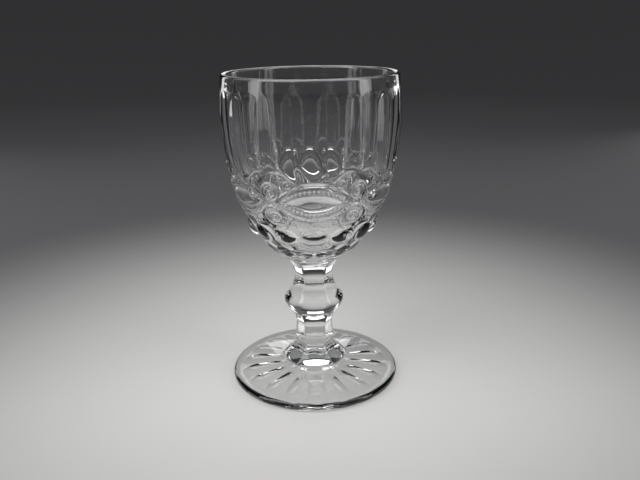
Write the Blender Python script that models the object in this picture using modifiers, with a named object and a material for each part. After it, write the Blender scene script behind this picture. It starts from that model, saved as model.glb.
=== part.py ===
"""A pressed-glass wine goblet: a fluted bowl, a six-sided stem with a knop, and a round foot.

The three pieces stand on one upright axis, +Z, with the origin under the middle of the foot.
Each piece is modelled from its own lower end and then raised to its place in the stack.
"""

import math
from functools import partial
from typing import NamedTuple

import bmesh
import bpy
import numpy as np
from mathutils import Vector
from mathutils.geometry import interpolate_bezier

MM = 0.001

# Foot
FOOT_RADIUS = 41.6 * MM
FOOT_EDGE_THICKNESS = 4.2 * MM
FOOT_HUB_HEIGHT = 8.4 * MM
FOOT_HUB_MARGIN = 0.8 * MM
FOOT_KICK = 2.2 * MM
FOOT_KICK_BULGE = 0.6 * MM
REST_RING_WIDTH = 2.6 * MM
FOOT_FLUTE_FROM_HUB = 2.0 * MM
FOOT_FLUTE_FROM_RING = 1.0 * MM
FOOT_FLUTE_WIDTH = 7.8 * MM
FOOT_FLUTE_DEPTH = 1.0 * MM

# Stem, as heights that stack from its collar up; its radii run to the six corners
COLLAR_RADIUS = 16.0 * MM
COLLAR_LIP = 1.1 * MM
COLLAR_TUCK = 0.6 * MM
COLLAR_RISE = 20.3 * MM
LOWER_NECK_RADIUS = 8.75 * MM
KNOP_LOWER_RISE = 12.0 * MM
KNOP_RADIUS = 15.0 * MM
KNOP_EDGE_HEIGHT = 1.4 * MM
KNOP_EDGE_BULGE = 0.4 * MM
KNOP_UPPER_RISE = 12.0 * MM
UPPER_NECK_RADIUS = 8.9 * MM
FLARE_RISE = 8.3 * MM

# Bowl, as heights that stack from its base up
BASE_RADIUS = 12.4 * MM
FLOOR_THICKNESS = 4.4 * MM
FLOOR_SPREAD = 20.0 * MM
UNDERSIDE_RISE = 23.4 * MM
UNDERSIDE_BULGE = 2.3 * MM
NOTCH_RADIUS = 31.0 * MM
BAND_RISE = 22.0 * MM
BAND_BULGE = 1.1 * MM
BAND_RADIUS = 39.0 * MM
BAND_WALL = 4.3 * MM
CUP_LEAN = 2.7 * MM
WALL_RISE = 43.0 * MM
WALL_BULGE = 1.7 * MM
RIM_RADIUS = 41.0 * MM
RIM_THICKNESS = 2.5 * MM

# Pressed ornament of the bowl
FLUTE_COUNT = 18
FLUTE_WIDTH = 12.6 * MM
FLUTE_DEPTH = 1.2 * MM
FLUTE_BELOW_RIM = 4.5 * MM
FLUTE_ABOVE_BAND = 0.5 * MM
EYE_COUNT = 6
EYE_ABOVE_NOTCH = 13.0 * MM
EYE_WIDTH = 19.5 * MM
EYE_HEIGHT = 7.6 * MM
EYE_PROUD = 0.8 * MM
OVAL_COUNT = 14
OVAL_BELOW_NOTCH = 5.4 * MM
OVAL_WIDTH = 11.4 * MM
OVAL_HEIGHT = 9.2 * MM
OVAL_PROUD = 1.2 * MM

# A cutting pad's middle stands this far off the wall, and a raised pad's is this deep in it
PAD_OFFSET = 0.2 * MM

# Gap that stands for the thin fused seam between two pieces
SEAM = 0.3 * MM

# Exponents of a pad's outline: 2 is an ellipse, and a higher one is squarer
ROUND_OUTLINE = 2.0
PANEL_OUTLINE = 4.0

# Shares of a flare's rise and run that shape its curve
NECK_PULL = 0.5
FLARE_PULL_UP = 0.22
FLARE_PULL_IN = 0.5

# Fineness of the facets
ROUND_STEPS = 36
STEM_SIDES = 6
CURVE_STEPS = 5
ARC_STEPS = 6
PAD_SEGMENTS = 8
PAD_RINGS = 8
WELD = 0.01 * MM

FRONT = -math.pi / 2

GLASS_COLOUR = (0.94, 0.96, 0.96, 1.0)
GLASS_IOR = 1.51
GLASS_ROUGHNESS = 0.02


class PadRing(NamedTuple):
    """A ring of equal pads on the bowl's wall, either cut into it or raised from it."""

    name: str
    operation: str
    count: int
    middle: float
    width: float
    height: float
    depth: float
    squareness: float


def clear_scene():
    """Removes every object of the open scene."""
    for obj in list(bpy.data.objects):
        bpy.data.objects.remove(obj, do_unlink=True)


def new_collection(name, parent):
    """Adds an empty collection under another one."""
    collection = bpy.data.collections.new(name)
    parent.children.link(collection)
    return collection


def clear_glass(name):
    """Clear, colourless, fire-polished glass."""
    material = bpy.data.materials.new(name)
    material.use_nodes = True
    shader = material.node_tree.nodes["Principled BSDF"]
    shader.inputs["Base Color"].default_value = GLASS_COLOUR
    shader.inputs["Metallic"].default_value = 0.0
    shader.inputs["Roughness"].default_value = GLASS_ROUGHNESS
    shader.inputs["IOR"].default_value = GLASS_IOR
    shader.inputs["Transmission Weight"].default_value = 1.0
    return material


def bezier(start, lead, follow, end):
    """Outline points of a cubic curve, without its first one."""
    knots = [Vector(point) for point in (start, lead, follow, end)]
    return [tuple(point) for point in interpolate_bezier(*knots, CURVE_STEPS + 1)[1:]]


def bulged(start, end, bulge):
    """Outline points of a shallow curve that stands proud of its chord, to the left of its run."""
    first, last = Vector(start), Vector(end)
    chord = last - first
    outward = Vector((-chord.y, chord.x)).normalized() * (bulge * 4 / 3)
    return bezier(first, first + chord / 3 + outward, last - chord / 3 + outward, last)


def flared(neck, wide):
    """Outline points from a neck, where the curve runs upright, out to a wider place."""
    run, rise = wide[0] - neck[0], wide[1] - neck[1]
    lead = (neck[0], neck[1] + NECK_PULL * rise)
    follow = (wide[0] - FLARE_PULL_IN * run, wide[1] - FLARE_PULL_UP * rise)
    return [neck] + bezier(neck, lead, follow, wide)


def arc(centre, radius, start_degrees, end_degrees):
    """Outline points of a circular arc."""
    angles = np.radians(np.linspace(start_degrees, end_degrees, ARC_STEPS + 1))
    return [(centre[0] + radius * math.cos(a), centre[1] + radius * math.sin(a)) for a in angles]


def turned(name, outline, steps, collection):
    """A solid turned about Z from an outline of (radius, height) points, down its outer side."""
    mesh = bpy.data.meshes.new(name)
    points = [(radius, 0.0, height) for radius, height in outline]
    mesh.from_pydata(points, [(i, i + 1) for i in range(len(points) - 1)], [])
    obj = bpy.data.objects.new(name, mesh)
    collection.objects.link(obj)
    screw = obj.modifiers.new("Turn", "SCREW")
    screw.axis = "Z"
    screw.steps = steps
    screw.render_steps = steps
    screw.use_merge_vertices = True
    screw.merge_threshold = WELD
    return obj


def make_pad(name, place, collection, parent):
    """A closed round pad, whose unit-sphere points are put in place by a function."""
    bm = bmesh.new()
    bmesh.ops.create_uvsphere(bm, u_segments=PAD_SEGMENTS, v_segments=PAD_RINGS, radius=1.0)
    for vert in bm.verts:
        vert.co = place(vert.co)
    bm.normal_update()
    bmesh.ops.recalc_face_normals(bm, faces=bm.faces)
    mesh = bpy.data.meshes.new(name)
    bm.to_mesh(mesh)
    bm.free()
    pad = bpy.data.objects.new(name, mesh)
    pad.parent = parent
    pad.hide_render = True
    pad.display_type = "WIRE"
    collection.objects.link(pad)


def use_pads(obj, collection, operation):
    """Cuts every pad of a collection from a piece, or joins it on."""
    boolean = obj.modifiers.new(collection.name, "BOOLEAN")
    boolean.operation = operation
    boolean.solver = "EXACT"
    boolean.operand_type = "COLLECTION"
    boolean.collection = collection


def wall_point(ring, outline, azimuth, point):
    """Where a unit-sphere point of a pad goes on the bowl's wall."""
    level = ring.middle + ring.height / 2 * point.z
    radii, heights = zip(*reversed(outline))
    wall = float(np.interp(level, heights, radii))
    sphere_width = math.sqrt(max(0.0, 1.0 - point.z**2))
    outline_width = max(0.0, 1.0 - abs(point.z) ** ring.squareness) ** (1 / ring.squareness)
    widen = outline_width / sphere_width if sphere_width > 0.0 else 0.0
    middle = wall + (PAD_OFFSET if ring.operation == "DIFFERENCE" else -PAD_OFFSET)
    radius = middle + point.x * widen * (ring.depth + PAD_OFFSET)
    angle = azimuth + point.y * widen * ring.width / 2 / wall
    return Vector((radius * math.cos(angle), radius * math.sin(angle), level))


def underside_point(underside, inner, outer, azimuth, point):
    """Where a unit-sphere point of a pad goes on the foot's underside."""
    radius = (inner + outer) / 2 + (outer - inner) / 2 * point.z
    across = FOOT_FLUTE_WIDTH / 2 * point.y
    radii, heights = zip(*reversed(underside))
    surface = float(np.interp(radius, radii, heights))
    level = surface - PAD_OFFSET + (FOOT_FLUTE_DEPTH + PAD_OFFSET) * point.x
    along = Vector((math.cos(azimuth), math.sin(azimuth)))
    side = Vector((-along.y, along.x))
    return Vector((*(along * radius + side * across), level))


def finish(obj, height, parent):
    """Dresses a piece in glass and raises it to its place in the stack."""
    obj.data.materials.append(clear_glass(f"clear_glass_{obj.name}"))
    obj.location.z = height
    obj.parent = parent


def bowl_outer_outline():
    """The bowl's outer side, from its rim down to its base."""
    notch = (NOTCH_RADIUS, UNDERSIDE_RISE)
    band_top = (BAND_RADIUS, UNDERSIDE_RISE + BAND_RISE)
    rim_side = (RIM_RADIUS, UNDERSIDE_RISE + BAND_RISE + WALL_RISE - RIM_THICKNESS / 2)
    outline = [rim_side]
    outline += bulged(rim_side, band_top, WALL_BULGE)
    outline += bulged(band_top, notch, BAND_BULGE)
    outline += bulged(notch, (BASE_RADIUS, 0.0), UNDERSIDE_BULGE)
    return outline


def bowl_inner_outline():
    """The bowl's inner side, from the middle of its floor up to its rim."""
    floor = (0.0, FLOOR_THICKNESS)
    band_top = (BAND_RADIUS - BAND_WALL, UNDERSIDE_RISE + BAND_RISE)
    rim_side = (RIM_RADIUS - RIM_THICKNESS, band_top[1] + WALL_RISE - RIM_THICKNESS / 2)
    outline = [floor]
    outline += bezier(
        floor,
        (FLOOR_SPREAD, FLOOR_THICKNESS),
        (band_top[0] - CUP_LEAN, UNDERSIDE_RISE + CUP_LEAN),
        band_top,
    )
    outline += bulged(band_top, rim_side, -WALL_BULGE)
    return outline


def bowl_ornament():
    """The rings of pads on the bowl's wall."""
    flute_bottom = UNDERSIDE_RISE + BAND_RISE + FLUTE_ABOVE_BAND
    flute_top = UNDERSIDE_RISE + BAND_RISE + WALL_RISE - FLUTE_BELOW_RIM
    return (
        PadRing(
            "flute", "DIFFERENCE", FLUTE_COUNT, (flute_bottom + flute_top) / 2,
            FLUTE_WIDTH, flute_top - flute_bottom, FLUTE_DEPTH, PANEL_OUTLINE,
        ),
        PadRing(
            "eye", "UNION", EYE_COUNT, UNDERSIDE_RISE + EYE_ABOVE_NOTCH,
            EYE_WIDTH, EYE_HEIGHT, EYE_PROUD, ROUND_OUTLINE,
        ),
        PadRing(
            "oval", "UNION", OVAL_COUNT, UNDERSIDE_RISE - OVAL_BELOW_NOTCH,
            OVAL_WIDTH, OVAL_HEIGHT, OVAL_PROUD, ROUND_OUTLINE,
        ),
    )


def make_bowl(parts, pads, parent, height):
    """The cup: a turned wall with upright flutes cut in it and lens-shaped bosses on it."""
    outer = bowl_outer_outline()
    rim_middle = (RIM_RADIUS - RIM_THICKNESS / 2, outer[0][1])
    rim = arc(rim_middle, RIM_THICKNESS / 2, 180, 0)[1:-1]
    bowl = turned("bowl", bowl_inner_outline() + rim + outer + [(0.0, 0.0)], ROUND_STEPS, parts)
    for ring in bowl_ornament():
        collection = new_collection(f"{ring.name}_pads", pads)
        for index in range(ring.count):
            azimuth = FRONT + math.tau * index / ring.count
            place = partial(wall_point, ring, outer, azimuth)
            make_pad(f"{ring.name}_{index + 1}", place, collection, bowl)
        use_pads(bowl, collection, ring.operation)
    finish(bowl, height, parent)


def stem_length():
    """Height of the stem from its collar to its top."""
    return COLLAR_RISE + KNOP_LOWER_RISE + KNOP_UPPER_RISE + FLARE_RISE


def make_stem(parts, parent, height):
    """The stick: a six-sided turning with a collar below, a knop at its middle and a flare on top."""
    girdle = COLLAR_RISE + KNOP_LOWER_RISE
    knop_side = KNOP_RADIUS - KNOP_EDGE_BULGE
    knop_top = (knop_side, girdle + KNOP_EDGE_HEIGHT / 2)
    knop_bottom = (knop_side, girdle - KNOP_EDGE_HEIGHT / 2)
    upper_neck = (UPPER_NECK_RADIUS, girdle + KNOP_UPPER_RISE)
    lower_neck = (LOWER_NECK_RADIUS, COLLAR_RISE)
    lip = (COLLAR_RADIUS, COLLAR_LIP)
    seat = (BASE_RADIUS, stem_length())

    outline = [(0.0, seat[1])]
    outline += flared(upper_neck, seat)[::-1]
    outline += flared(upper_neck, knop_top)[1:]
    outline += bulged(knop_top, knop_bottom, KNOP_EDGE_BULGE)[:-1]
    outline += flared(lower_neck, knop_bottom)[::-1]
    outline += flared(lower_neck, lip)[1:]
    outline += [(COLLAR_RADIUS - COLLAR_TUCK, 0.0), (0.0, 0.0)]
    stem = turned("stem", outline, STEM_SIDES, parts)
    finish(stem, height, parent)


def make_foot(parts, pads, parent):
    """The foot: a shallow cone with a round edge, on a flat ring, fluted underneath."""
    edge_round = FOOT_EDGE_THICKNESS / 2
    edge_middle = (FOOT_RADIUS - edge_round, edge_round)
    hub_radius = COLLAR_RADIUS + FOOT_HUB_MARGIN
    ring_inner = edge_middle[0] - REST_RING_WIDTH
    underside = [(ring_inner, 0.0)]
    underside += bulged(underside[0], (0.0, FOOT_KICK), -FOOT_KICK_BULGE)

    outline = [(0.0, FOOT_HUB_HEIGHT), (hub_radius, FOOT_HUB_HEIGHT)]
    outline += arc(edge_middle, edge_round, 90, -90)
    outline += underside
    foot = turned("foot", outline, ROUND_STEPS, parts)

    inner = hub_radius + FOOT_FLUTE_FROM_HUB
    outer = ring_inner - FOOT_FLUTE_FROM_RING
    collection = new_collection("foot_flute_pads", pads)
    for index in range(FLUTE_COUNT):
        azimuth = FRONT + math.tau * index / FLUTE_COUNT
        place = partial(underside_point, underside, inner, outer, azimuth)
        make_pad(f"foot_flute_{index + 1}", place, collection, foot)
    use_pads(foot, collection, "DIFFERENCE")
    finish(foot, 0.0, parent)


def main():
    """Builds the goblet from its foot up."""
    clear_scene()
    scene = bpy.context.scene.collection
    parts = new_collection("wine_goblet", scene)
    pads = new_collection("pressing_pads", scene)
    axis = bpy.data.objects.new("goblet_axis", None)
    parts.objects.link(axis)

    stem_bottom = FOOT_HUB_HEIGHT + SEAM
    bowl_base = stem_bottom + stem_length() + SEAM
    make_foot(parts, pads, axis)
    make_stem(parts, axis, stem_bottom)
    make_bowl(parts, pads, axis, bowl_base)


main()
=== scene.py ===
"""Looks of the pressed-glass wine goblet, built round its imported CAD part.

Foot, stem and bowl are drawn again at the fineness that clear glass needs. Each piece repeats every half
turn, so one sector of it is lofted from rows of points, and a Geometry Nodes tree repeats the sector about
the goblet's axis. Sizes are millimetres unless a class says metres, angles in the classes are degrees, and
heights are measured from the surface that the goblet stands on.
"""

import logging
import math
from dataclasses import dataclass
from enum import Enum
from typing import Any

import bpy
import numpy as np
from mathutils import Matrix, Vector

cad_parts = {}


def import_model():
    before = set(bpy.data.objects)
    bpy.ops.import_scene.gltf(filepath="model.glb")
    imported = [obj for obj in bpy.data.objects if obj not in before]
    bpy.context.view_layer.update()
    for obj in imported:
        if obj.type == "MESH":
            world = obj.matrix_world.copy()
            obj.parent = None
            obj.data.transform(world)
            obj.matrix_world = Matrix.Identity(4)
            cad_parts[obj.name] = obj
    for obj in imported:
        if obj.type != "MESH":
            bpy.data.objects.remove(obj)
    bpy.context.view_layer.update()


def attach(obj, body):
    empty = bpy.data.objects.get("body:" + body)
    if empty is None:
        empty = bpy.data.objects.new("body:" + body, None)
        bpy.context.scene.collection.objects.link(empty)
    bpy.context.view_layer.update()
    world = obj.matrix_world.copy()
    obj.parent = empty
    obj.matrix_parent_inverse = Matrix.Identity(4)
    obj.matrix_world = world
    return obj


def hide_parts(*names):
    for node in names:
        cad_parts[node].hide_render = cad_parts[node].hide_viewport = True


LOG = logging.getLogger("wine_goblet")
MM = 0.001
BODY = "root"
SEAM_FLAG = "fused_seam"

# Counts round the goblet
SECTORS = 2
SIDES = 6
FLUTES = 18
EYES = 6
OVALS = 14

# Fineness of an outline's curves, the reach that its slope is taken over, and gaps too small to keep
CURVE_STEPS = 80
SLOPE_REACH = 0.25
SAME_POINT = 1e-6
WELD = 0.002

# Numbers of a Mix node's colour sockets
MIX_FROM = 6
MIX_TO = 7
MIX_RESULT = 2

Pair = tuple[float, float]


class Strip(Enum):
    """What a strip of faces between two rows is: the glass's own surface, or a seam inside the glass."""

    SURFACE = 0
    SEAM = 1


def linear(code: str) -> tuple[float, float, float, float]:
    """Turns an sRGB hex colour into linear light, by the standard's own curve.

    Args:
        code: six hex digits with a leading hash.

    Returns:
        Red, green, blue and an alpha of 1.
    """
    shares = [int(code[i : i + 2], 16) / 255 for i in (1, 3, 5)]
    light = [s / 12.92 if s <= 0.04045 else ((s + 0.055) / 1.055) ** 2.4 for s in shares]
    return (*light, 1.0)


def add_node(
    tree: bpy.types.NodeTree, kind: str, inputs: dict[Any, Any] | None = None, **settings: Any
) -> Any:
    """Adds a node with its settings, and links or sets its inputs.

    Args:
        tree: the node tree that gets the node.
        kind: Blender's name for the kind of node.
        inputs: for each input by its name or number, a plain value, a socket to link from, or a node to
            link from by its first output.
        settings: the node's own properties.

    Returns:
        The new node.
    """
    node = tree.nodes.new(kind)
    for key, value in settings.items():
        setattr(node, key, value)
    for key, value in (inputs or {}).items():
        if isinstance(value, bpy.types.Node):
            value = value.outputs[0]
        if isinstance(value, bpy.types.NodeSocket):
            tree.links.new(value, node.inputs[key])
        else:
            node.inputs[key].default_value = value
    return node


def bare_material(name: str) -> tuple[bpy.types.Material, bpy.types.NodeTree]:
    """Makes a material that has no nodes yet.

    Args:
        name: what the real material is called.

    Returns:
        The material and its empty node tree.
    """
    material = bpy.data.materials.new(name)
    material.use_nodes = True
    material.node_tree.nodes.clear()
    return material, material.node_tree


def ramp(start: float, end: float, value: np.ndarray) -> np.ndarray:
    """A smooth step from 0 at start to 1 at end."""
    share = np.clip((value - start) / (end - start), 0.0, 1.0)
    return share * share * (3.0 - 2.0 * share)


def dome(share: np.ndarray) -> np.ndarray:
    """A round boss: 1 in its middle, falling to a crisp foot where share is 1."""
    return np.clip(1.0 - share * share, 0.0, None)


def bead(share: np.ndarray) -> np.ndarray:
    """A fire-polished rib or bead: 1 on its crest, falling to a soft foot where share is 1."""
    return dome(share) ** 2


def softened(value: np.ndarray, rounding: float) -> np.ndarray:
    """The part of a value above zero, with the corner at zero rounded."""
    return 0.5 * (value + np.sqrt(value * value + rounding * rounding))


def bezier(start: Pair, lead: Pair, follow: Pair, end: Pair) -> np.ndarray:
    """Draws a cubic curve.

    Args:
        start: where the curve starts, as a radius and a height.
        lead: the handle that it leaves the start towards.
        follow: the handle that it reaches the end from.
        end: where the curve ends.

    Returns:
        Points of the curve, both ends included.
    """
    t = np.linspace(0.0, 1.0, CURVE_STEPS + 1)[:, None]
    knots = [np.asarray(point, float) for point in (start, lead, follow, end)]
    weights = ((1 - t) ** 3, 3 * t * (1 - t) ** 2, 3 * t * t * (1 - t), t**3)
    return sum(weight * knot for weight, knot in zip(weights, knots))


def pulled(start: Pair, lead: Pair, follow: Pair, end: Pair) -> np.ndarray:
    """A cubic curve whose two handles are given as offsets from the ends that they belong to."""
    first, last = np.asarray(start, float), np.asarray(end, float)
    return bezier(first, first + np.asarray(lead), last + np.asarray(follow), last)


def bulged(start: Pair, end: Pair, bulge: float) -> np.ndarray:
    """Draws a shallow curve that stands proud of its chord.

    Args:
        start: where the curve starts, as a radius and a height.
        end: where the curve ends.
        bulge: how far its middle stands to the right of its run.

    Returns:
        Points of the curve, both ends included.
    """
    first, last = np.asarray(start, float), np.asarray(end, float)
    chord = last - first
    outward = np.array((chord[1], -chord[0])) / np.hypot(*chord) * (bulge * 4 / 3)
    return bezier(first, first + chord / 3 + outward, last - chord / 3 + outward, last)


def arc(centre: Pair, radius: float, start: float, end: float, steps: int) -> np.ndarray:
    """Points of a circular arc between two angles in degrees."""
    angle = np.radians(np.linspace(start, end, steps + 1))
    return np.stack((centre[0] + radius * np.cos(angle), centre[1] + radius * np.sin(angle)), axis=1)


class Outline:
    """A (radius, height) curve that runs with the glass on its left, measured along its own length."""

    def __init__(self, *curves: np.ndarray) -> None:
        """Joins curves end to end.

        Args:
            curves: the points of each curve, in order.
        """
        points = np.concatenate(curves)
        gaps = np.hypot(*np.diff(points, axis=0).T)
        self.points = points[np.concatenate(([True], gaps > SAME_POINT))]
        steps = np.hypot(*np.diff(self.points, axis=0).T)
        self.lengths = np.concatenate(([0.0], np.cumsum(steps)))

    def length_at(self, height: float) -> float:
        """Length along the curve at a height, where the curve only rises."""
        return float(np.interp(height, self.points[:, 1], self.lengths))

    def radius_at(self, height: float) -> float:
        """Radius of the curve at a height, where the curve only rises."""
        return float(np.interp(self.length_at(height), self.lengths, self.points[:, 0]))

    def points_at(self, lengths: np.ndarray) -> np.ndarray:
        """Points of the curve at lengths along it, as radii and heights."""
        return np.stack([np.interp(lengths, self.lengths, self.points[:, i]) for i in (0, 1)], axis=-1)

    def normals_at(self, lengths: np.ndarray) -> np.ndarray:
        """Finds which way the curve faces.

        Args:
            lengths: distances along the curve.

        Returns:
            The unit normals there that face out of the glass.
        """
        ahead = self.points_at(np.clip(lengths + SLOPE_REACH, 0.0, self.lengths[-1]))
        behind = self.points_at(np.clip(lengths - SLOPE_REACH, 0.0, self.lengths[-1]))
        run = ahead - behind
        normals = np.stack((run[..., 1], -run[..., 0]), axis=-1)
        return normals / np.linalg.norm(normals, axis=-1, keepdims=True)

    def rows(self, spacing: float) -> np.ndarray:
        """Points of the whole curve at about a spacing, both ends included."""
        return self.points_at(np.append(spaced(0.0, self.lengths[-1], spacing), self.lengths[-1]))


def spaced(start: float, end: float, spacing: float) -> np.ndarray:
    """Evenly spaced values from start up to, but not including, end."""
    count = max(1, round(abs(end - start) / spacing))
    return np.linspace(start, end, count, endpoint=False)


def wrapped(angle: np.ndarray, count: int) -> np.ndarray:
    """Angles from the nearest of a count of evenly spaced places, the first of them at the front."""
    pitch = math.tau / count
    return angle - np.round(angle / pitch) * pitch


def columns(count: int, gather: float = 0.0, turn: float = 0.0) -> np.ndarray:
    """Angles of a sector's columns, which may gather at the ridges between its flutes.

    Args:
        count: columns of faces across the sector.
        gather: 0 for even columns, up to 1 for columns drawn close at the ridges.
        turn: degrees that the flutes are turned from the sector's middle.

    Returns:
        Angles in radians, from one edge of the sector to the other.
    """
    half = math.pi / SECTORS
    even = np.linspace(-half, half, count + 1)
    return even + gather / FLUTES * np.sin(FLUTES * (even - math.radians(turn)))


def six_sided(angle: np.ndarray, sharpness: float) -> np.ndarray:
    """Shapes a six-sided section with rounded corners.

    Args:
        angle: angles about the axis, in radians, from the middle of a side.
        sharpness: how crisp the corners are.

    Returns:
        The radius at each angle, as a share of the radius at the corners.
    """

    def section(at: np.ndarray) -> np.ndarray:
        """Radius of the section where a side's middle is at 1."""
        sides = [np.clip(np.cos(at - k * math.tau / SIDES), 0.0, None) for k in range(SIDES)]
        return sum(side**sharpness for side in sides) ** (-1.0 / sharpness)

    return section(angle) / section(np.array(math.pi / SIDES))


class Sector:
    """One half of a piece: rows of points from the axis below, out, up and back to the axis above."""

    def __init__(self) -> None:
        """Starts with no rows."""
        self.rows: list[np.ndarray] = []
        self.strips: list[Strip] = []

    def add_pole(self, height: float, strip: Strip = Strip.SURFACE) -> None:
        """Adds a row that is a single point on the axis."""
        self.rows.append(np.array([[0.0, 0.0, height]]))
        self.strips.append(strip)

    def add_row(self, angle: np.ndarray, radius: Any, height: Any, strip: Strip = Strip.SURFACE) -> None:
        """Adds a row of points.

        Args:
            angle: the columns' angles about the axis, from the front.
            radius: one radius, or one for each column.
            height: one height, or one for each column.
            strip: what the faces between this row and the one before it are.
        """
        x = radius * np.sin(angle)
        y = -radius * np.cos(angle)
        self.rows.append(np.stack(np.broadcast_arrays(x, y, height), axis=1))
        self.strips.append(strip)

    def stitched(self) -> tuple[list[tuple[int, ...]], list[bool]]:
        """Joins neighbouring rows with faces, where a row may have twice or half the next one's columns.

        Returns:
            The faces, and for each face whether it is a seam inside the glass.
        """
        faces: list[tuple[int, ...]] = []
        seams: list[bool] = []
        a = 0
        for before, after, strip in zip(self.rows, self.rows[1:], self.strips[1:]):
            b = a + len(before)
            low, high = len(before) - 1, len(after) - 1
            if low == 0:
                new = [(a, b + j + 1, b + j) for j in range(high)]
            elif high == 0:
                new = [(a + j, a + j + 1, b) for j in range(low)]
            elif low == high:
                new = [(a + j, a + j + 1, b + j + 1, b + j) for j in range(low)]
            elif high == 2 * low:
                new = []
                for j in range(low):
                    c = b + 2 * j
                    new += [(a + j, c + 1, c), (a + j, a + j + 1, c + 1), (a + j + 1, c + 2, c + 1)]
            else:
                new = []
                for j in range(high):
                    c = a + 2 * j
                    new += [(c, c + 1, b + j), (c + 1, b + j + 1, b + j), (c + 1, c + 2, b + j + 1)]
            faces += new
            seams += [strip is Strip.SEAM] * len(new)
            a = b
        return faces, seams

    def mesh(self, name: str) -> bpy.types.Mesh:
        """Makes the sector's mesh, in metres, with its seam faces flagged.

        Args:
            name: the mesh's name.

        Returns:
            The mesh.
        """
        faces, seams = self.stitched()
        mesh = bpy.data.meshes.new(name)
        mesh.from_pydata((np.concatenate(self.rows) * MM).tolist(), [], faces)
        flag = mesh.attributes.new(SEAM_FLAG, "BOOLEAN", "FACE")
        flag.data.foreach_set("value", seams)
        return mesh


@dataclass(frozen=True)
class FirePolishedGlass:
    """Clear soda-lime glass, pressed in a mould and fire-polished."""

    colour: str = "#FEFEFE"
    ior: float = 1.51
    roughness: float = 0.0
    wave_length: float = 5.0
    wave_stretch: float = 8.0
    wave_detail: float = 1.0
    wave_depth: float = 0.02
    edge_blend: float = 0.35
    shadow_clear: str = "#FBFBFB"
    shadow_edge: str = "#8C8E8F"

    def material(self) -> bpy.types.Material:
        """Builds the glass, which lets lamp light and bounced light through unbent for a soft shadow.

        Returns:
            The material.
        """
        # The flame leaves a wet, even gloss, and the mould a faint waviness that makes what is seen
        # through the wall swim a little
        material, tree = bare_material("fire_polished_soda_lime_glass")
        place = add_node(tree, "ShaderNodeTexCoord").outputs["Object"]
        upright = (1.0, 1.0, 1.0 / self.wave_stretch)
        drawn = add_node(tree, "ShaderNodeMapping", {"Vector": place, "Scale": upright})
        noise = {"Vector": drawn, "Scale": 1.0 / (self.wave_length * MM), "Detail": self.wave_detail}
        waves = add_node(tree, "ShaderNodeTexNoise", noise)
        depth = self.wave_depth * MM
        bump = add_node(tree, "ShaderNodeBump", {"Height": waves, "Distance": depth, "Strength": 1.0})
        gloss = {
            "Base Color": linear(self.colour),
            "Roughness": self.roughness,
            "IOR": self.ior,
            "Transmission Weight": 1.0,
            "Normal": bump,
        }
        surface = add_node(tree, "ShaderNodeBsdfPrincipled", gloss)
        edge = add_node(tree, "ShaderNodeLayerWeight", {"Blend": self.edge_blend}).outputs["Facing"]
        tones = {"Factor": edge, MIX_FROM: linear(self.shadow_clear), MIX_TO: linear(self.shadow_edge)}
        tint = add_node(tree, "ShaderNodeMix", tones, data_type="RGBA").outputs[MIX_RESULT]
        let_through = add_node(tree, "ShaderNodeBsdfTransparent", {"Color": tint})
        ray = add_node(tree, "ShaderNodeLightPath").outputs
        for kind in ("Is Diffuse Ray", "Is Shadow Ray"):
            surface = add_node(tree, "ShaderNodeMixShader", {0: ray[kind], 1: surface, 2: let_through})
        add_node(tree, "ShaderNodeOutputMaterial", {"Surface": surface})
        return material


@dataclass(frozen=True)
class FusedSeam:
    """The join of two gathers of hot glass."""

    def material(self) -> bpy.types.Material:
        """Builds a surface that light crosses unchanged.

        Returns:
            The material.
        """
        # The glass runs on from one piece to the next, so the eye sees nothing there
        material, tree = bare_material("fused_glass_seam")
        clear = add_node(tree, "ShaderNodeBsdfTransparent")
        add_node(tree, "ShaderNodeOutputMaterial", {"Surface": clear})
        return material


@dataclass(frozen=True)
class Finishes:
    """The materials of the goblet, made once and shared by its pieces."""

    glass: bpy.types.Material
    seam: bpy.types.Material


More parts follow.
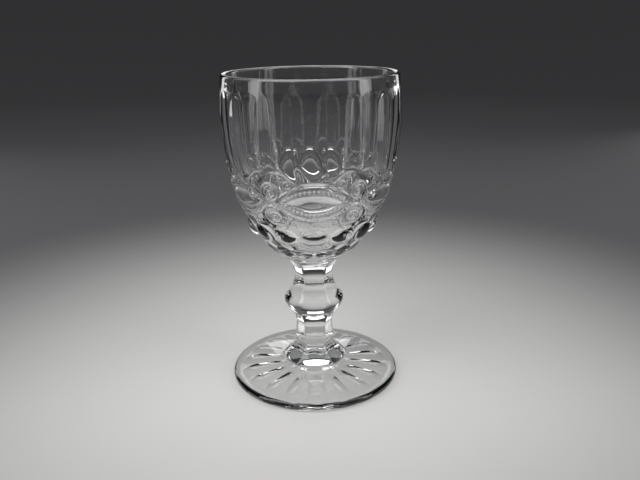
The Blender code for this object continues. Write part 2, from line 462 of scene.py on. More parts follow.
class SectorRepeat:
    """The Geometry Nodes tree that repeats a sector about the goblet's axis and dresses it."""

    def __init__(self) -> None:
        """Builds the tree with its named inputs."""
        tree = bpy.data.node_groups.new("repeat_sector_about_axis", "GeometryNodeTree")
        self.tree = tree
        self.sockets: dict[str, str] = {}
        tree.interface.new_socket("Geometry", in_out="INPUT", socket_type="NodeSocketGeometry")
        tree.interface.new_socket("Geometry", in_out="OUTPUT", socket_type="NodeSocketGeometry")
        for name, kind in (
            ("Sectors", "NodeSocketInt"),
            ("Weld", "NodeSocketFloat"),
            ("Glass", "NodeSocketMaterial"),
            ("Seam", "NodeSocketMaterial"),
        ):
            socket = tree.interface.new_socket(name, in_out="INPUT", socket_type=kind)
            self.sockets[name] = socket.identifier
        given = add_node(tree, "NodeGroupInput").outputs
        points = add_node(tree, "GeometryNodePoints", {"Count": given["Sectors"]})
        index = add_node(tree, "GeometryNodeInputIndex")
        turn = add_node(tree, "ShaderNodeMath", {0: math.tau, 1: given["Sectors"]}, operation="DIVIDE")
        angle = add_node(tree, "ShaderNodeMath", {0: index, 1: turn}, operation="MULTIPLY")
        euler = add_node(tree, "ShaderNodeCombineXYZ", {"Z": angle})
        rotation = add_node(tree, "FunctionNodeEulerToRotation", {0: euler})
        placing = {"Points": points, "Instance": given["Geometry"], "Rotation": rotation}
        copies = add_node(tree, "GeometryNodeInstanceOnPoints", placing)
        real = add_node(tree, "GeometryNodeRealizeInstances", {"Geometry": copies})
        welding = {"Geometry": real, "Distance": given["Weld"]}
        welded = add_node(tree, "GeometryNodeMergeByDistance", welding)
        seam = add_node(tree, "GeometryNodeInputNamedAttribute", {"Name": SEAM_FLAG}, data_type="BOOLEAN")
        shape = add_node(tree, "GeometryNodeSetShadeSmooth", {"Geometry": welded, "Shade Smooth": True})
        flat = {"Geometry": shape, "Selection": seam, "Shade Smooth": False}
        shape = add_node(tree, "GeometryNodeSetShadeSmooth", flat)
        glazing = {"Geometry": shape, "Material": given["Glass"]}
        shape = add_node(tree, "GeometryNodeSetMaterial", glazing)
        joining = {"Geometry": shape, "Selection": seam, "Material": given["Seam"]}
        shape = add_node(tree, "GeometryNodeSetMaterial", joining)
        add_node(tree, "NodeGroupOutput", {"Geometry": shape})

    def make(self, name: str, sector: Sector, finish: Finishes) -> bpy.types.Object:
        """Repeats a sector and keeps the result as a plain mesh.

        Args:
            name: the piece's name.
            sector: one half of the piece.
            finish: the materials of the goblet.

        Returns:
            The finished piece, at the origin.
        """
        source = bpy.data.objects.new(f"{name}_sector", sector.mesh(f"{name}_sector"))
        bpy.context.scene.collection.objects.link(source)
        modifier = source.modifiers.new("Repeat", "NODES")
        modifier.node_group = self.tree
        modifier[self.sockets["Sectors"]] = SECTORS
        modifier[self.sockets["Weld"]] = WELD * MM
        modifier[self.sockets["Glass"]] = finish.glass
        modifier[self.sockets["Seam"]] = finish.seam
        shown = source.evaluated_get(bpy.context.evaluated_depsgraph_get())
        mesh = bpy.data.meshes.new_from_object(shown)
        mesh.name = name
        bpy.data.objects.remove(source)
        piece = bpy.data.objects.new(name, mesh)
        bpy.context.scene.collection.objects.link(piece)
        return piece


@dataclass(frozen=True)
class Joins:
    """Where the three gathers of glass meet, shared by the pieces on either side.

    The fire polish has worn the corners round at some heights, given as middle, reach and share.
    """

    foot_top: float = 8.55
    foot_radius: float = 15.5
    bowl_base: float = 61.45
    bowl_radius: float = 12.9
    bowl_lean: Pair = (0.72, 0.694)
    corner_sharpness: float = 17.0
    round_from: float = 59.5
    round_to: float = 67.0
    worn: tuple[tuple[float, float, float], ...] = ((9.6, 6.0, 0.75), (37.2, 7.0, 0.7))

    def section(self, angle: np.ndarray, height: float) -> np.ndarray:
        """Shapes the section at a height: six-sided below the bowl, and round above.

        Args:
            angle: angles about the axis, in radians.
            height: the section's height.

        Returns:
            The radius at each angle, as a share of the radius at the corners.
        """
        six = 1.0 - float(ramp(self.round_from, self.round_to, np.array(height)))
        for middle, reach, share in self.worn:
            six *= 1.0 - share * float(bead(np.array((height - middle) / reach)))
        return 1.0 - six * (1.0 - six_sided(angle, self.corner_sharpness))


@dataclass
class Stem:
    """The six-sided stick with a bell collar, two necks and a knop.

    A lead is the offset of the handle that the outline leaves a place by, and a follow the offset of the
    one that it comes in by.
    """

    joins: Joins
    foot_lead: Pair = (0.3, 0.3)
    lip_follow: Pair = (0.1, -0.6)
    lip_radius: float = 16.0
    lip_height: float = 9.8
    lip_lead: Pair = (-1.6, 3.4)
    bell_follow: Pair = (0.0, -4.5)
    bell_top: float = 19.0
    bell_neck_radius: float = 9.3
    neck_swell: float = 0.18
    lower_neck_height: float = 28.5
    lower_neck_radius: float = 8.72
    lower_neck_lead: Pair = (1.1, 3.1)
    girdle_height: float = 40.2
    girdle_radius: float = 14.95
    girdle_half_height: float = 2.6
    girdle_round: float = 1.15
    under_follow: Pair = (-2.1, -2.4)
    under_lead: Pair = (1.0, 1.14)
    over_follow: Pair = (1.0, -1.1)
    over_lead: Pair = (-2.6, 2.9)
    upper_neck_follow: Pair = (0.68, -3.9)
    upper_neck_height: float = 53.3
    upper_neck_radius: float = 8.88
    upper_neck_lead: Pair = (0.4, 2.2)
    bowl_reach: float = 3.6
    column_count: int = 180
    row_spacing: float = 0.6

    def outline(self) -> Outline:
        """Draws the line of the six corners, from the foot up to the bowl.

        Returns:
            The outline.
        """
        joins = self.joins
        bottom = (joins.foot_radius, joins.foot_top)
        lip = (self.lip_radius, self.lip_height)
        bell = (self.bell_neck_radius, self.bell_top)
        low = (self.lower_neck_radius, self.lower_neck_height)
        under = (self.girdle_radius - self.girdle_round, self.girdle_height - self.girdle_half_height)
        over = (self.girdle_radius - self.girdle_round, self.girdle_height + self.girdle_half_height)
        high = (self.upper_neck_radius, self.upper_neck_height)
        top = (joins.bowl_radius, joins.bowl_base)
        return Outline(
            pulled(bottom, self.foot_lead, self.lip_follow, lip),
            pulled(lip, self.lip_lead, self.bell_follow, bell),
            bulged(bell, low, self.neck_swell),
            pulled(low, self.lower_neck_lead, self.under_follow, under),
            pulled(under, self.under_lead, self.over_follow, over),
            pulled(over, self.over_lead, self.upper_neck_follow, high),
            pulled(high, self.upper_neck_lead, np.multiply(joins.bowl_lean, -self.bowl_reach), top),
        )

    def sector(self) -> Sector:
        """Lofts the stem between its two joins.

        Returns:
            One half of the stem.
        """
        angle = columns(self.column_count)
        sector = Sector()
        sector.add_pole(self.joins.foot_top)
        for i, (radius, height) in enumerate(self.outline().rows(self.row_spacing)):
            strip = Strip.SEAM if i == 0 else Strip.SURFACE
            sector.add_row(angle, radius * self.joins.section(angle, height), height, strip)
        sector.add_pole(self.joins.bowl_base, Strip.SEAM)
        return sector


@dataclass
class Foot:
    """The round foot: coned on top, round at its edge, fluted underneath inside a flat resting ring."""

    joins: Joins
    radius: float = 41.6
    edge_thickness: float = 4.2
    edge_turn: float = 84.0
    edge_steps: int = 14
    cone_bulge: float = 0.25
    cone_spacing: float = 1.2
    hub_radius: float = 17.4
    hub_height: float = 8.0
    hub_lead: Pair = (-1.1, 0.2)
    join_follow: Pair = (0.35, -0.35)
    round_by: float = 20.0
    ring_width: float = 2.6
    kick: float = 2.2
    kick_bulge: float = 0.6
    flute_inner: float = 14.5
    flute_outer: float = 36.4
    flute_fade: float = 7.0
    flute_depth: float = 0.35
    flute_ridge: float = 0.9
    flute_rounding: float = 0.2
    flute_least_half: float = 0.3
    gather: float = 0.55
    column_count: int = 180
    row_spacing: float = 0.75

    def flute_rise(self, angle: np.ndarray, radius: float) -> np.ndarray:
        """Hollows the underside: eighteen wedges with round outer ends.

        Args:
            angle: angles about the axis, in radians.
            radius: the radius of a row.

        Returns:
            How far the underside is raised at each angle.
        """
        half_bay = math.pi / FLUTES
        local = wrapped(angle, FLUTES)
        end_half = self.flute_outer * half_bay - self.flute_ridge / 2
        turn_at = self.flute_outer - end_half
        half = max(min(radius, turn_at) * half_bay - self.flute_ridge / 2, self.flute_least_half)
        past = max(0.0, radius - turn_at)
        share = np.hypot(local * radius / half, past / end_half)
        fade = float(ramp(self.flute_inner, self.flute_inner + self.flute_fade, np.array(radius)))
        return self.flute_depth * fade * softened(1.0 - share**2, self.flute_rounding)

    def sector(self) -> Sector:
        """Lofts the foot from the middle of its underside round to its join with the stem.

        Returns:
            One half of the foot.
        """
        joins = self.joins
        angle = columns(self.column_count, self.gather)
        round_edge = self.edge_thickness / 2
        middle = (self.radius - round_edge, round_edge)
        ring = middle[0] - self.ring_width
        sector = Sector()
        sector.add_pole(self.kick)
        underside = Outline(bulged((0.0, self.kick), (ring, 0.0), -self.kick_bulge))
        for radius, height in underside.rows(self.row_spacing)[1:-1]:
            sector.add_row(angle, radius, height + self.flute_rise(angle, radius))
        sector.add_row(angle, ring, 0.0)
        edge = arc(middle, round_edge, -90, self.edge_turn, self.edge_steps)
        for radius, height in edge:
            sector.add_row(angle, radius, height)
        hub = (self.hub_radius, self.hub_height)
        join = (joins.foot_radius, joins.foot_top)
        cone = Outline(
            bulged(tuple(edge[-1]), hub, self.cone_bulge),
            pulled(hub, self.hub_lead, self.join_follow, join),
        )
        six_sided_join = joins.section(angle, joins.foot_top)
        for radius, height in cone.rows(self.cone_spacing)[1:]:
            six = 1.0 - float(ramp(joins.foot_radius, self.round_by, np.array(radius)))
            sector.add_row(angle, radius * (1.0 - six * (1.0 - six_sided_join)), height)
        sector.add_pole(joins.foot_top, Strip.SEAM)
        return sector


@dataclass(frozen=True)
class WallGrid:
    """A grid of the bowl's outer side: levels are lengths along its outline, and angles are radians."""

    wall: Outline
    level: np.ndarray
    angle: np.ndarray

    @property
    def radius(self) -> np.ndarray:
        """The outline's radius at each level."""
        return np.interp(self.level, self.wall.lengths, self.wall.points[:, 0])

    @property
    def height(self) -> np.ndarray:
        """The outline's height at each level."""
        return np.interp(self.level, self.wall.lengths, self.wall.points[:, 1])

    def up_from(self, height: float) -> np.ndarray:
        """Lengths up the outline from a height."""
        return self.level - self.wall.length_at(height)

    def distance(self, side: np.ndarray, azimuth: float, height: float) -> np.ndarray:
        """Measures over the wall from a place on it.

        Args:
            side: the points' angles, folded as the ornament repeats.
            azimuth: the place's own angle, in degrees.
            height: the place's height.

        Returns:
            The distance of each point.
        """
        across = (side - math.radians(azimuth)) * self.wall.radius_at(height)
        return np.hypot(across, self.up_from(height))


@dataclass(frozen=True)
class Flutes:
    """Eighteen upright hollows round the bowl, with arched tops and tray-shaped bottoms.

    They sit a little to one side of the eyes below, as where the parts of a mould aren't quite in line.
    """

    turn: float = -2.5
    turned_from: float = 116.0
    depth: float = 0.95
    half_width: float = 6.7
    top: float = 144.5
    bottom_over_eye: float = 106.5
    bottom_at_roundel: float = 111.3
    slant_from: float = 10.0
    slant_to: float = 23.0
    arch_height: float = 5.5
    arch_squareness: float = 4.0
    fade_from: float = 126.0
    fade: float = 0.2
    tray_height: float = 1.1
    tray_squareness: float = 6.0
    rounding: float = 0.1

    def bottom(self, grid: WallGrid) -> np.ndarray:
        """Finds where the flutes end: level over an eye, and higher at a roundel.

        Args:
            grid: a grid of the wall.

        Returns:
            Lengths along the wall's outline, at each point's angle.
        """
        low, high = (grid.wall.length_at(end) for end in (self.bottom_over_eye, self.bottom_at_roundel))
        side = np.abs(wrapped(grid.angle, EYES))
        slant = ramp(math.radians(self.slant_from), math.radians(self.slant_to), side)
        return low + (high - low) * slant

    def hollow(self, grid: WallGrid) -> np.ndarray:
        """Hollows the flutes out of the wall.

        Args:
            grid: a grid of the wall.

        Returns:
            The depth at each point.
        """
        mark, level = grid.wall.length_at, grid.level
        turned = ramp(mark(self.bottom_over_eye), mark(self.turned_from), level)
        local = wrapped(grid.angle - math.radians(self.turn) * turned, FLUTES)
        across = local * grid.radius / self.half_width
        above = np.clip(level - (mark(self.top) - self.arch_height), 0.0, None) / self.arch_height
        below = np.clip(self.bottom(grid) + self.tray_height - level, 0.0, None) / self.tray_height
        blunt = np.where(below > 0.0, self.tray_squareness, self.arch_squareness)
        share = (np.abs(across) ** blunt + np.maximum(above, below) ** blunt) ** (1 / blunt)
        fade = ramp(mark(self.fade_from), mark(self.top), level)
        return self.depth * (1.0 - self.fade * fade) * softened(1.0 - share**2, self.rounding)


@dataclass(frozen=True)
class Eye:
    """A pointed eye on the band: a raised border, a row of beads in it and a smooth lens in its middle."""

    height: float = 97.7
    half_width: float = 18.2
    half_height: float = 9.25
    border_width: float = 0.8
    border_soft: float = 0.15
    border_rise: float = 0.55
    bead_inset: float = 3.3
    beads_per_quarter: int = 8
    bead_radius: float = 0.7
    bead_rise: float = 0.6
    lens_half_width: float = 12.6
    lens_half_height: float = 4.1
    lens_rise: float = 1.2
    lens_edge: float = 3.0
    groove_depth: float = 0.3
    groove_outset: float = 0.5
    groove_half_width: float = 0.7

    @staticmethod
    def inset(
        x: np.ndarray, y: np.ndarray, half_width: float, half_height: float
    ) -> tuple[np.ndarray, np.ndarray, float]:
        """Measures from the edge of a pointed oval of two arcs.

        Args:
            x: distances across from the oval's middle.
            y: distances up from it.
            half_width: from the oval's middle to a point.
            half_height: from its middle to the top of an arc.

        Returns:
            Distances inside the edge, angles round the arcs' centres, and the arcs' radius.
        """
        radius = (half_width**2 + half_height**2) / (2 * half_height)
        drop = np.abs(y) + radius - half_height
        return radius - np.hypot(x, drop), np.arctan2(x, drop), radius

    def rise(self, x: np.ndarray, y: np.ndarray) -> np.ndarray:
        """Raises the eye above the band's ground.

        Args:
            x: distances across from the eye's middle.
            y: distances up from it.

        Returns:
            The height at each point.
        """
        inside, swing, radius = self.inset(x, y, self.half_width, self.half_height)
        half_border = self.border_width / 2
        border = self.border_rise * bead((inside - half_border) / (half_border + self.border_soft))
        row = radius - self.bead_inset
        reach = math.acos((radius - self.half_height) / row)
        step = reach / self.beads_per_quarter
        off = (swing - np.round(swing / step) * step) * row
        pearl = self.bead_rise * dome(np.hypot(off, inside - self.bead_inset) / self.bead_radius)
        deep, _, _ = self.inset(x, y, self.lens_half_width, self.lens_half_height)
        share = np.clip(deep / self.lens_half_height, 0.0, 1.0)
        lens = self.lens_rise * (1.0 - (1.0 - share) ** self.lens_edge)
        groove = self.groove_depth * bead((deep + self.groove_outset) / self.groove_half_width)
        return np.maximum.reduce((border, pearl, lens)) - groove


@dataclass(frozen=True)
class Ring:
    """A raised ring of a roundel."""

    radius: float
    half_width: float
    rise: float


@dataclass(frozen=True)
class Roundel:
    """Concentric rings with a boss in the middle."""

    azimuth: float
    height: float
    rings: tuple[Ring, ...]
    boss_radius: float
    boss_rise: float

    def rise(self, grid: WallGrid, side: np.ndarray) -> np.ndarray:
        """Raises the roundel above the ground.

        Args:
            grid: a grid of the wall.
            side: the points' angles, folded as the ornament repeats.

        Returns:
            The height at each point.
        """
        distance = grid.distance(side, self.azimuth, self.height)
        parts = [self.boss_rise * dome(distance / self.boss_radius)]
        parts += [ring.rise * bead((distance - ring.radius) / ring.half_width) for ring in self.rings]
        return np.maximum.reduce(parts)


@dataclass(frozen=True)
class Stud:
    """A small round boss."""

    azimuth: float
    height: float
    radius: float
    rise: float


@dataclass(frozen=True)
class PressedBand:
    """The ornament of the band below the flutes, on a ground sunk under the wall's own line.

    Other ornament gives way to an eye between cut_from and cut_to, measured inside the eye's edge.
    """

    eye: Eye = Eye()
    eye_outset: float = 0.4
    cut_from: float = 0.4
    cut_to: float = -0.3
    ground: float = 0.5
    roundels: tuple[Roundel, ...] = (
        Roundel(30.0, 102.7, (Ring(4.0, 0.65, 0.7), Ring(2.5, 0.6, 0.6)), 1.15, 0.7),
        Roundel(17.0, 106.2, (Ring(1.7, 0.55, 0.5),), 0.7, 0.5),
    )
    rosette: Roundel = Roundel(30.0, 90.6, (Ring(2.5, 0.6, 0.6),), 1.0, 0.65)
    arch_azimuth: float = 30.0
    arch_height: float = 90.2
    arch_radius: float = 6.5
    arch_half_width: float = 0.75
    arch_rise: float = 0.75
    studs: tuple[Stud, ...] = (
        Stud(16.0, 87.6, 1.2, 0.6),
        Stud(13.2, 108.6, 0.8, 0.4),
        Stud(21.5, 108.9, 0.8, 0.4),
        Stud(25.2, 110.2, 0.7, 0.4),
        Stud(0.0, 87.2, 0.9, 0.4),
        Stud(5.0, 86.9, 0.8, 0.35),
        Stud(9.5, 86.9, 0.8, 0.35),
    )

    def rise(self, grid: WallGrid) -> np.ndarray:
        """Raises the ornament over the band.

        Args:
            grid: a grid of the wall.

        Returns:
            The height above the band's ground at each point.
        """
        eye = self.eye
        angle = wrapped(grid.angle, EYES)
        side = np.abs(angle)
        x, y = angle * grid.wall.radius_at(eye.height), grid.up_from(eye.height)
        inside, _, _ = eye.inset(x, y, eye.half_width, eye.half_height)
        outside = ramp(self.cut_from, self.cut_to, inside)
        arch = grid.distance(side, self.arch_azimuth, self.arch_height)
        past_arch = ramp(self.arch_radius, self.arch_radius + self.arch_half_width, arch)
        parts = [
            self.arch_rise * bead((arch - self.arch_radius) / self.arch_half_width),
            self.rosette.rise(grid, side),
            np.where(inside > -self.eye_outset, eye.rise(x, y), 0.0) * past_arch,
        ]
        parts += [roundel.rise(grid, side) * outside * past_arch for roundel in self.roundels]
        for stud in self.studs:
            away = grid.distance(side, stud.azimuth, stud.height)
            parts.append(stud.rise * dome(away / stud.radius) * outside)
        return np.maximum.reduce(parts)


@dataclass(frozen=True)
class UndersideOrnament:
    """Fourteen oval bosses under the band, with a row of petals, small studs and a ring below them."""

    oval_height: float = 79.8
    oval_half_angle: float = 12.2
    oval_half_height: float = 5.2
    oval_rise: float = 1.9
    petal_height: float = 70.3
    petal_half_angle: float = 11.4
    petal_half_height: float = 5.0
    petal_rise: float = 0.7
    stud_height: float = 75.0
    stud_radius: float = 1.3
    stud_rise: float = 0.5
    ring_height: float = 64.4
    ring_half_width: float = 0.6
    ring_rise: float = 0.3

    def rise(self, grid: WallGrid) -> np.ndarray:
        """Raises the ornament over the bowl's underside.

        Args:
            grid: a grid of the wall.

        Returns:
            The height above the underside's own line at each point.
        """
        from_oval = wrapped(grid.angle, OVALS) / math.radians(self.oval_half_angle)
        oval = np.hypot(from_oval, grid.up_from(self.oval_height) / self.oval_half_height)
        side = wrapped(grid.angle - math.pi / OVALS, OVALS)
        from_petal = side / math.radians(self.petal_half_angle)
        petal = np.hypot(from_petal, grid.up_from(self.petal_height) / self.petal_half_height)
        stud = grid.distance(side, 0.0, self.stud_height) / self.stud_radius
        bosses = (self.oval_rise * dome(oval), self.petal_rise * dome(petal), self.stud_rise * dome(stud))
        ring = self.ring_rise * bead(grid.up_from(self.ring_height) / self.ring_half_width)
        return np.maximum(np.maximum.reduce(bosses), ring)


@dataclass(frozen=True)
class Zone:
    """A stretch of the bowl's outer side: the height it ends at, its rows' spacing and its columns."""

    top: float
    spacing: float
    column_count: int = 180


@dataclass
class Bowl:
    """The cup: fluted wall, ornamented band and underside, plain inside, with a fire-polished rim.

    A reach is the length of a curve's handle along the lean at its place. The last zone runs out at the rim.
    """

    joins: Joins
    base_reach: float = 2.2
    flare: Pair = (17.6, 66.2)
    flare_lean: Pair = (0.78, 0.626)
    flare_reach: Pair = (-2.2, 6.5)
    notch: Pair = (31.0, 85.0)
    notch_lean: Pair = (0.3, 0.954)
    notch_reach: float = -7.0
    band_top: Pair = (39.0, 107.0)
    band_bulge: float = 1.1
    band_limit: float = 113.0
    ground_from: float = 85.2
    ground_by: float = 87.0
    lip: float = 0.6
    wall_bulge: float = 1.79
    flutes_from: float = 106.0
    ridge_rise: float = 0.19
    ridge_from: Pair = (108.0, 120.0)
    ridge_to: Pair = (139.0, 147.5)
    rim_middle: Pair = (39.3, 148.75)
    rim_round: float = 1.25
    rim_lean: float = 6.5
    rim_steps: int = 12
    floor_height: float = 66.0
    floor_spread: float = 20.0
    inner_band_radius: float = 34.7
    cup_lean: float = 2.7
    flutes: Flutes = Flutes()
    band: PressedBand = PressedBand()
    underside: UndersideOrnament = UndersideOrnament()
    zones: tuple[Zone, ...] = (
        Zone(85.2, 0.62),
        Zone(111.6, 0.40, 360),
        Zone(118.0, 0.9),
        Zone(137.5, 2.4),
        Zone(146.6, 0.5),
        Zone(150.0, 0.7),
    )
    gather: float = 0.6
    gather_from: Pair = (111.6, 118.0)
    inner_columns: int = 90
    inner_spacing: float = 2.0

    def rim_side(self, outward: float) -> Pair:
        """Where the rim's round meets the wall: outside for an outward of 1, and inside for -1."""
        lean, (radius, height) = math.radians(self.rim_lean), self.rim_middle
        return radius + outward * self.rim_round * math.cos(lean), height - self.rim_round * math.sin(lean)

    def outer(self) -> Outline:
        """Draws the outer side's own line, from the join with the stem up to the rim.

        Returns:
            The outline.
        """
        joins = self.joins
        base = (joins.bowl_radius, joins.bowl_base)
        base_lead = np.multiply(joins.bowl_lean, self.base_reach)
        flare_follow, flare_lead = (np.multiply(self.flare_lean, reach) for reach in self.flare_reach)
        notch_follow = np.multiply(self.notch_lean, self.notch_reach)
        return Outline(
            pulled(base, base_lead, flare_follow, self.flare),
            pulled(self.flare, flare_lead, notch_follow, self.notch),
            bulged(self.notch, self.band_top, self.band_bulge),
            bulged(self.band_top, self.rim_side(1.0), self.wall_bulge),
        )

    def relief(self, grid: WallGrid) -> np.ndarray:
        """Presses the ornament into the wall.

        Args:
            grid: a grid of the wall.

        Returns:
            How far each point stands out from the bowl's own line.
        """
        height, notch = grid.height, self.notch[1]
        below = self.flutes.bottom(grid) - grid.level
        sunk = self.band.ground * ramp(self.ground_from, self.ground_by, height) * ramp(0.0, self.lip, below)
        proud = self.ridge_rise * ramp(*self.ridge_from, height) * (1.0 - ramp(*self.ridge_to, height))
        in_band = (height > notch) & (height < self.band_limit) & (below > 0.0)
        band = np.where(in_band, self.band.rise(grid), 0.0)
        under = np.where(height < notch, self.underside.rise(grid), 0.0)
        hollow = np.where(height > self.flutes_from, self.flutes.hollow(grid), 0.0)
        return band - sunk - hollow + under + proud

    def add_outer_rows(self, sector: Sector, wall: Outline, lengths: np.ndarray, column_count: int) -> None:
        """Adds rows of the outer side.

        Args:
            sector: one half of the bowl, which starts with its pole.
            wall: the wall's outline.
            lengths: distances along the outline, one for each row.
            column_count: columns of faces across the sector.
        """
        points, normals = wall.points_at(lengths), wall.normals_at(lengths)
        start, end = (wall.length_at(height) for height in self.gather_from)
        gather = self.gather * ramp(start, end, lengths)
        angle = np.stack([columns(column_count, share, self.flutes.turn) for share in gather])
        relief = self.relief(WallGrid(wall, lengths[:, None], angle))
        for i, (radius, height) in enumerate(points):
            pressed = radius * self.joins.section(angle[i], height) + relief[i] * normals[i, 0]
            strip = Strip.SEAM if len(sector.rows) == 1 else Strip.SURFACE
            sector.add_row(angle[i], pressed, height + relief[i] * normals[i, 1], strip)

    def inner_points(self) -> np.ndarray:
        """Draws the inner side, from just under the rim down to just beside the middle of the floor.

        Returns:
            Radii and heights of the rows.
        """
        band = (self.inner_band_radius, self.band_top[1])
        lead = (band[0] - self.cup_lean, self.notch[1] + self.cup_lean)
        follow = (self.floor_spread, self.floor_height)
        inner = Outline(
            bulged(self.rim_side(-1.0), band, -self.wall_bulge),
            bezier(band, lead, follow, (0.0, self.floor_height)),
        )
        return inner.rows(self.inner_spacing)[1:-1]

    def sector(self) -> Sector:
        """Lofts the bowl from its join with the stem, up its outer side, over the rim and down inside.

        Returns:
            One half of the bowl.
        """
        wall = self.outer()
        sector = Sector()
        sector.add_pole(self.joins.bowl_base)
        start = 0.0
        last = self.zones[-1]
        for zone in self.zones:
            end = wall.length_at(zone.top)
            lengths = spaced(start, end, zone.spacing)
            if zone is last:
                lengths = np.append(lengths, end)
            self.add_outer_rows(sector, wall, lengths, zone.column_count)
            start = end
        ridge_angle = columns(last.column_count, self.gather, self.flutes.turn)
        over = arc(self.rim_middle, self.rim_round, -self.rim_lean, 180 + self.rim_lean, self.rim_steps)
        for radius, height in over[1:]:
            sector.add_row(ridge_angle, radius, height)
        for radius, height in self.inner_points():
            sector.add_row(columns(self.inner_columns), radius, height)
        sector.add_pole(self.floor_height)
        return sector


@dataclass(frozen=True)
class PaperWithPaintedLightPool:
    """Matte background paper: its own pale tone where the goblet stands, with painted shade that darkens it
    to the deep tone further out, a painted pool of light round the goblet.
    """

    pale: str = "#DCDBD9"
    deep: str = "#5C5C5E"
    painted_pool_inner: float = 20.0
    painted_pool_outer: float = 340.0
    roughness: float = 0.9

    def material(self) -> bpy.types.Material:
        """Builds the paper, with its painted pool of light and the painted shade further out.

        Returns:
            The material.
        """
        # Uncoated paper scatters light evenly, so the eye sees a soft tone with no gloss
        material, tree = bare_material("matte_paper_with_painted_light_pool")
        place = add_node(tree, "ShaderNodeTexCoord").outputs["Object"]
        # Painted shade: the paper's colour is mixed from its pale tone to a deep grey by distance from the
        # goblet, which paints a pool of light round it
        reach = add_node(tree, "ShaderNodeVectorMath", {0: place}, operation="LENGTH").outputs["Value"]
        span = {"Value": reach, "From Min": self.painted_pool_inner * MM, "From Max": self.painted_pool_outer * MM}
        painted_falloff = add_node(tree, "ShaderNodeMapRange", span, interpolation_type="SMOOTHSTEP")
        tones = {"Factor": painted_falloff, MIX_FROM: linear(self.pale), MIX_TO: linear(self.deep)}
        tone = add_node(tree, "ShaderNodeMix", tones, data_type="RGBA").outputs[MIX_RESULT]
        matte = {"Base Color": tone, "Roughness": self.roughness}
        paper = add_node(tree, "ShaderNodeBsdfPrincipled", matte)
        add_node(tree, "ShaderNodeOutputMaterial", {"Surface": paper})
        return material


@dataclass(frozen=True)
class Softbox:
    """A soft lamp: its place, the place it faces and its size in metres, its power in watts and its beam.

    A beam under 180 degrees stands for a grid on the lamp, which keeps its light off the backdrop.
    """

    name: str
    place: tuple[float, float, float]
    aim: tuple[float, float, float]
    width: float
    height: float
    power: float
    beam: float = 180.0

    def make(self) -> None:
        """Hangs the lamp in the scene."""
        light = bpy.data.lights.new(self.name, "AREA")
        light.shape = "RECTANGLE"
        light.size = self.width
        light.size_y = self.height
        light.energy = self.power
        light.spread = math.radians(self.beam)
        lamp = bpy.data.objects.new(self.name, light)
        lamp.location = self.place
        run = Vector(self.aim) - Vector(self.place)
        lamp.rotation_euler = run.to_track_quat("-Z", "Y").to_euler()
        lamp.visible_camera = False
        bpy.context.scene.collection.objects.link(lamp)


@dataclass
class Studio:
    """A pale paper sweep that rises all round, soft lamps and a dim room, with sizes in metres."""

    flat: float = 1.3
    rise: float = 0.9
    wall: float = 0.4
    clearance: float = 0.0001
    segments: int = 96
    corner_steps: int = 16
    room: str = "#808182"
    softboxes: tuple[Softbox, ...] = (
        Softbox("key_softbox", (-0.55, -0.45, 1.0), (0.0, 0.0, 0.0), 0.9, 0.9, 8.0),
        Softbox("fill_softbox", (0.60, -0.40, 1.0), (0.0, 0.0, 0.0), 0.7, 0.7, 2.5),
        Softbox("back_softbox", (0.0, 0.95, 0.36), (0.0, 0.0, 0.08), 0.35, 0.3, 0.16, 90.0),
        Softbox("left_strip", (-0.60, 0.65, 0.30), (0.0, 0.0, 0.10), 0.16, 0.6, 0.22, 90.0),
        Softbox("right_strip", (0.60, 0.65, 0.30), (0.0, 0.0, 0.10), 0.16, 0.6, 0.22, 90.0),
        Softbox("left_window", (-0.29, -0.105, 0.21), (0.0, 0.0, 0.10), 0.09, 0.40, 0.11, 90.0),
        Softbox("right_window", (0.28, -0.125, 0.21), (0.0, 0.0, 0.10), 0.09, 0.40, 0.11, 90.0),
    )

    def lay_sweep(self) -> None:
        """Lays the paper: a round floor with a curved rise to a low wall."""
        corner = arc((self.flat, self.rise), self.rise, -90, 0, self.corner_steps)
        top = (self.flat + self.rise, self.rise + self.wall)
        profile = [(self.flat / 2, 0.0)] + [tuple(point) for point in corner] + [top]
        n = self.segments
        angle = np.arange(n) * math.tau / n
        points = [(0.0, 0.0, -self.clearance)]
        for radius, height in profile:
            level = height - self.clearance
            points += [(radius * math.cos(a), radius * math.sin(a), level) for a in angle]
        faces: list[tuple[int, ...]] = [(0, 1 + j, 1 + (j + 1) % n) for j in range(n)]
        for i in range(len(profile) - 1):
            a, b = 1 + i * n, 1 + (i + 1) * n
            faces += [(a + j, b + j, b + (j + 1) % n, a + (j + 1) % n) for j in range(n)]
        mesh = bpy.data.meshes.new("paper_sweep")
        mesh.from_pydata(points, [], faces)
        mesh.shade_smooth()
        mesh.materials.append(PaperWithPaintedLightPool().material())
        sweep = bpy.data.objects.new("paper_sweep", mesh)
        bpy.context.scene.collection.objects.link(sweep)

    def build(self) -> None:
        """Lays the sweep, hangs the lamps and sets the room's light."""
        self.lay_sweep()
        for softbox in self.softboxes:
            softbox.make()
        world = bpy.data.worlds.new("dim_room")
        world.use_nodes = True
        world.node_tree.nodes["Background"].inputs["Color"].default_value = linear(self.room)
        bpy.context.scene.world = world


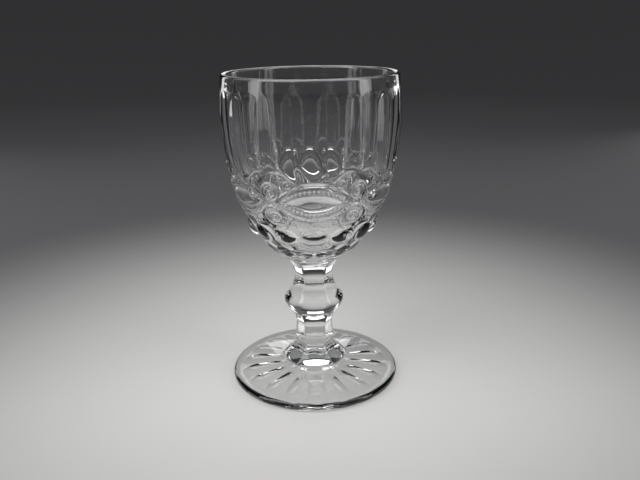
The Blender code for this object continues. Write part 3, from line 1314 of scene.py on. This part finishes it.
@dataclass(frozen=True)
class Viewpoint:
    """The camera that took the photograph, solved from the outlines of the rim and the foot."""

    place: tuple[float, float, float] = (-7.56, -314.56, 174.07)
    turn: float = -2.0
    tilt: float = 18.28
    roll: float = 0.84
    lens: float = 38.29
    sensor: float = 36.0
    nearest: float = 10.0
    furthest: float = 50000.0

    def build(self) -> None:
        """Sets up the camera and makes it the scene's own."""
        data = bpy.data.cameras.new("photo_camera")
        data.lens = self.lens
        data.sensor_width = self.sensor
        data.clip_start = self.nearest * MM
        data.clip_end = self.furthest * MM
        camera = bpy.data.objects.new("photo_camera", data)
        turn, tilt, roll = (math.radians(a) for a in (self.turn, self.tilt, self.roll))
        level = Matrix.Rotation(turn, 4, "Z") @ Matrix.Rotation(math.pi / 2 - tilt, 4, "X")
        place = Matrix.Translation(Vector(self.place) * MM)
        camera.matrix_world = place @ level @ Matrix.Rotation(-roll, 4, "Z")
        bpy.context.scene.collection.objects.link(camera)
        bpy.context.scene.camera = camera


@dataclass(frozen=True)
class LightPaths:
    """How far light is followed through the glass.

    A limit on the brightness of one indirect sample keeps stray sparkles from blurring the ornament.
    """

    bounces: int = 32
    sample_limit: float = 2.0

    def build(self) -> None:
        """Sets the scene's light paths and its plain view transform."""
        scene = bpy.context.scene
        scene.view_settings.view_transform = "Standard"
        scene.cycles.max_bounces = self.bounces
        scene.cycles.transmission_bounces = self.bounces
        scene.cycles.transparent_max_bounces = self.bounces
        scene.cycles.sample_clamp_indirect = self.sample_limit


def show(piece: bpy.types.Object, node: str) -> None:
    """Puts a finished piece in the place of its CAD node.

    Args:
        piece: the finished piece.
        node: the name of the CAD node.
    """
    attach(piece, BODY)
    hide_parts(node)
    triangles = sum(len(face.vertices) - 2 for face in piece.data.polygons)
    LOG.info("%s: %d triangles", piece.name, triangles)


def main() -> None:
    """Builds the goblet from its foot up, then the studio round it."""
    logging.basicConfig(level=logging.INFO, format="%(name)s: %(message)s")
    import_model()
    finish = Finishes(FirePolishedGlass().material(), FusedSeam().material())
    repeat = SectorRepeat()
    joins = Joins()
    show(repeat.make("foot_glass", Foot(joins).sector(), finish), "foot")
    show(repeat.make("stem_glass", Stem(joins).sector(), finish), "stem")
    show(repeat.make("bowl_glass", Bowl(joins).sector(), finish), "bowl")
    Studio().build()
    Viewpoint().build()
    LightPaths().build()


if __name__ == "__main__":
    main()
